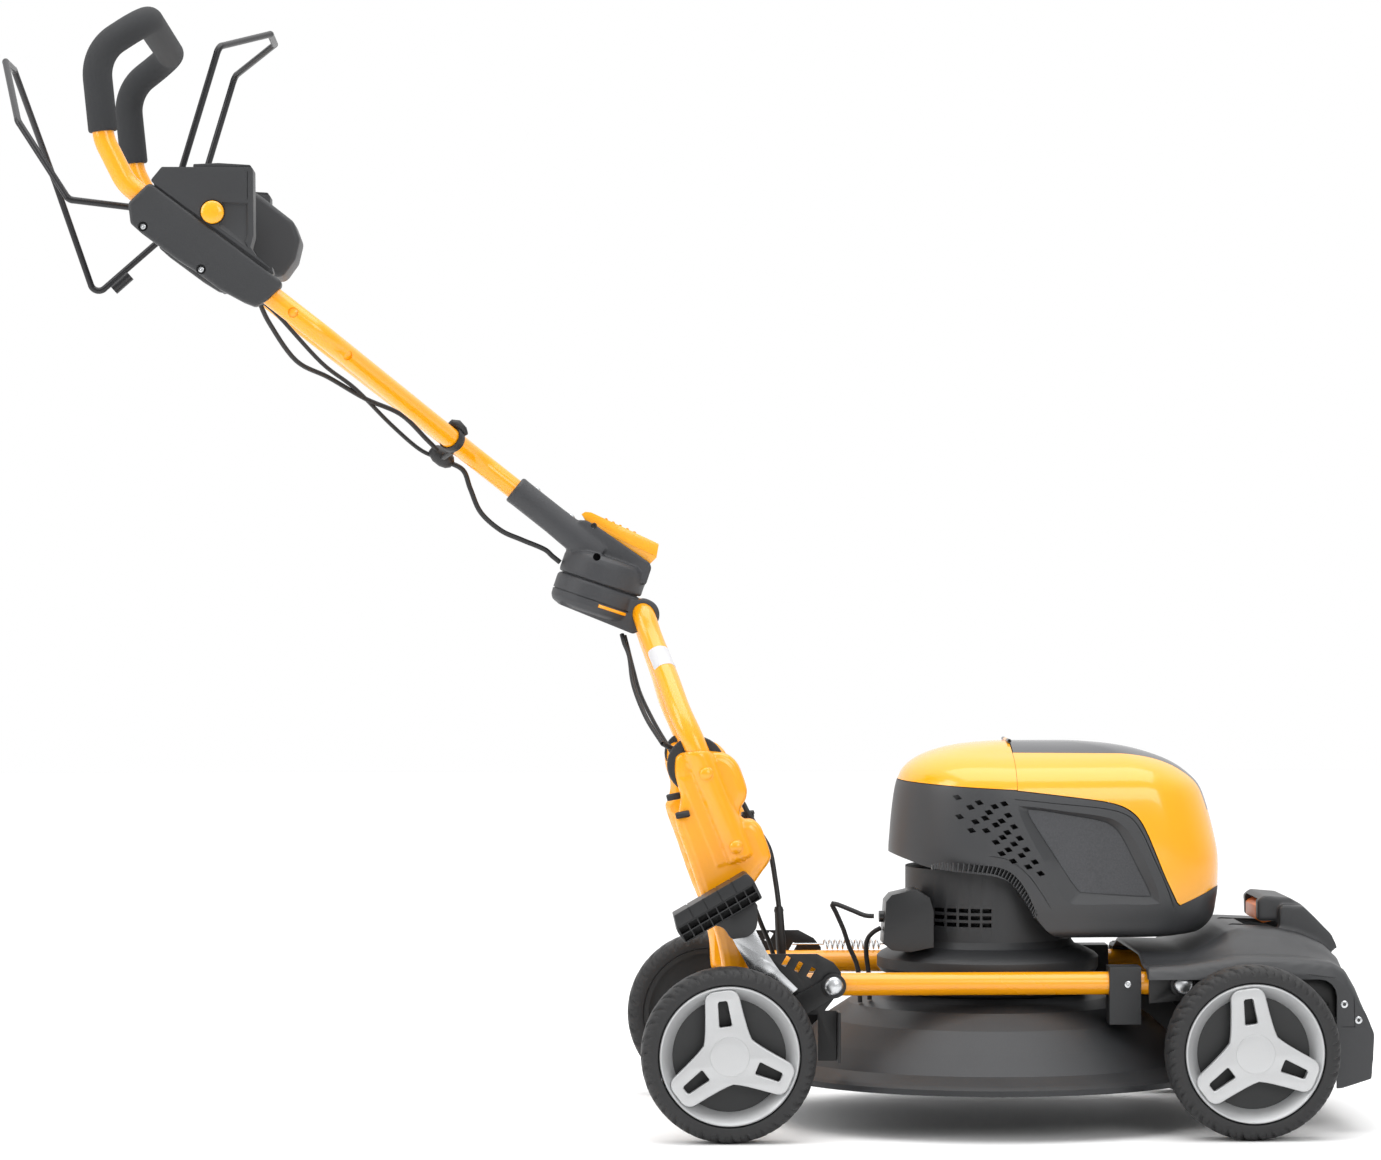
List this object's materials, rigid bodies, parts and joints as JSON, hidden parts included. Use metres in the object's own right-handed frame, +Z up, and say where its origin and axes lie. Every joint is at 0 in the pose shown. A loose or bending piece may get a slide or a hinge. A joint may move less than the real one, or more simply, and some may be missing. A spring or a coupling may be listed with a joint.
{
  "type": "battery lawn mower",
  "caption": "Walk-behind battery lawn mower with a domed mulching deck, four wheels, height-adjusting carriers and a swivelling handle with two bails.",
  "frame": {"origin": "on the ground, on the axis of the blade spindle, at the resting wheel height", "axes": "+X forward along the direction of travel, +Y to the operator's left, +Z up along the blade spindle"},
  "size_m": [1.4296, 0.4885, 1.1621],
  "materials": {
    "deck_paint": "satin powder coat",
    "frame_paint": "gloss powder coat",
    "black_steel": "satin powder coat",
    "zinc_steel": "bright zinc",
    "blade_steel": "ground edge",
    "tyre_rubber": "matt",
    "wheel_plastic": "moulded grain",
    "trim_plastic": "silver satin",
    "cover_plastic": "fine spark grain",
    "housing_plastic": "fine spark grain",
    "panel_plastic": "satin metallic",
    "yellow_plastic": "gloss",
    "strip_plastic": "satin",
    "pedal_plastic": "moulded grain",
    "latch_plastic": "satin",
    "joint_plastic": "glass-filled nylon",
    "foam": "closed-cell foam",
    "cable_jacket": "satin",
    "copper": "enamelled wire",
    "motor_steel": "machined",
    "electronics": "board lacquer",
    "battery_plastic": "moulded grain"
  },
  "bodies": {
    "chassis": {"deck_bowl": "deck_paint", "frame_tubes": "frame_paint", "rear_plates": "black_steel", "front_plates": "black_steel", "tube_clamps": "cover_plastic", "pivot_bolts": "zinc_steel", "front_cover": "cover_plastic", "motor_base": "housing_plastic", "motor_bearings": "motor_steel", "stator": "copper", "housing_body": "housing_plastic", "rear_cap": "yellow_plastic", "side_panels": "panel_plastic", "battery_packs": "battery_plastic", "battery_dock": "housing_plastic", "control_board": "electronics", "switch_box": "housing_plastic", "switch_leads": "cable_jacket", "lower_tubes": "frame_paint", "knuckle_plates": "frame_paint", "knuckle_caps": "pedal_plastic", "joint_lower": "joint_plastic", "lower_cables": "cable_jacket", "return_spring": "zinc_steel"},
    "blade_shaft": {"rotor": "motor_steel", "spindle": "zinc_steel", "blade_hub": "motor_steel", "blade": "blade_steel", "blade_bolt": "zinc_steel"},
    "rear_carrier": {"rear_arms": "black_steel", "rear_axle": "zinc_steel"},
    "height_pedal": {"pedal_lever": "zinc_steel", "pedal_tread": "pedal_plastic"},
    "front_carrier": {"front_arms": "black_steel", "front_axle": "zinc_steel"},
    "height_latch": {"front_latch": "latch_plastic"},
    "battery_lid": {"lid_shell": "yellow_plastic", "lid_strip": "strip_plastic"},
    "upper_handle": {"joint_upper": "joint_plastic", "stem_tubes": "frame_paint", "grip_foam": "foam", "console_cheeks": "cover_plastic", "console_tower": "cover_plastic", "upper_cables": "cable_jacket"},
    "swivel_lever": {"joint_lever": "yellow_plastic"},
    "start_button_body": {"start_button": "yellow_plastic"},
    "drive_bail": {"rear_bail": "black_steel"},
    "stop_bail": {"front_bail": "black_steel"},
    "wheel_rear_right": {"tyre_rear_right": "tyre_rubber", "core_rear_right": "wheel_plastic", "trim_rear_right": "trim_plastic"},
    "wheel_rear_left": {"tyre_rear_left": "tyre_rubber", "core_rear_left": "wheel_plastic", "trim_rear_left": "trim_plastic"},
    "wheel_front_right": {"tyre_front_right": "tyre_rubber", "core_front_right": "wheel_plastic", "trim_front_right": "trim_plastic"},
    "wheel_front_left": {"tyre_front_left": "tyre_rubber", "core_front_left": "wheel_plastic", "trim_front_left": "trim_plastic"}
  },
  "joints": [
    {"name": "blade_spin", "type": "hinge", "parent": "chassis", "child": "blade_shaft", "pos_m": [0, 0, 0.1], "axis": [0, 0, 1], "continuous": true},
    {"name": "rear_height", "type": "hinge", "parent": "chassis", "child": "rear_carrier", "pos_m": [-0.176, 0, 0.154], "axis": [0, 1, 0], "range_deg": [-8, 6]},
    {"name": "pedal_press", "type": "hinge", "parent": "rear_carrier", "child": "height_pedal", "pos_m": [-0.251, -0.16, 0.175], "axis": [0, 1, 0], "range_deg": [-10, 0], "stiffness_Nm_per_rad": 6, "springref_deg": 20.05},
    {"name": "front_height", "type": "hinge", "parent": "chassis", "child": "front_carrier", "pos_m": [0.188, 0, 0.154], "axis": [0, 1, 0], "range_deg": [-9, 9]},
    {"name": "latch_press", "type": "hinge", "parent": "chassis", "child": "height_latch", "pos_m": [0.296, 0, 0.217], "axis": [0, 1, 0], "range_deg": [0, 10], "stiffness_Nm_per_rad": 0.6, "springref_deg": -11.46},
    {"name": "lid_hinge", "type": "hinge", "parent": "chassis", "child": "battery_lid", "pos_m": [0.02, 0, 0.402], "axis": [0, 1, 0], "range_deg": [-70, 0]},
    {"name": "handle_swivel", "type": "hinge", "parent": "chassis", "child": "upper_handle", "pos_m": [-0.4145, 0, 0.569], "axis": [0.3206, 0, 0.9472], "range_deg": [-180, 180]},
    {"name": "swivel_release", "type": "hinge", "parent": "upper_handle", "child": "swivel_lever", "pos_m": [-0.421, 0, 0.631], "axis": [0, 1, 0], "range_deg": [-24, 0], "stiffness_Nm_per_rad": 0.8, "springref_deg": 17.19},
    {"name": "start_press", "type": "slide", "parent": "upper_handle", "child": "start_button_body", "axis": [0, 1, 0], "range_m": [0, 0.003], "stiffness_N_per_m": 400, "springref_m": -0.001},
    {"name": "drive_bail_pull", "type": "hinge", "parent": "upper_handle", "child": "drive_bail", "pos_m": [-0.86, 0, 0.951], "axis": [0, 1, 0], "range_deg": [0, 33], "stiffness_Nm_per_rad": 3, "springref_deg": -20.05},
    {"name": "stop_bail_pull", "type": "hinge", "parent": "upper_handle", "child": "stop_bail", "pos_m": [-0.853, 0, 0.977], "axis": [0, 1, 0], "range_deg": [-24, 0], "stiffness_Nm_per_rad": 3, "springref_deg": 20.05},
    {"name": "rear_right_roll", "type": "hinge", "parent": "rear_carrier", "child": "wheel_rear_right", "pos_m": [-0.288, -0.213, 0.09], "axis": [0, 1, 0], "continuous": true},
    {"name": "rear_left_roll", "type": "hinge", "parent": "rear_carrier", "child": "wheel_rear_left", "pos_m": [-0.288, 0.213, 0.09], "axis": [0, 1, 0], "continuous": true},
    {"name": "front_right_roll", "type": "hinge", "parent": "front_carrier", "child": "wheel_front_right", "pos_m": [0.251, -0.213, 0.09], "axis": [0, 1, 0], "continuous": true},
    {"name": "front_left_roll", "type": "hinge", "parent": "front_carrier", "child": "wheel_front_left", "pos_m": [0.251, 0.213, 0.09], "axis": [0, 1, 0], "continuous": true}
  ]
}
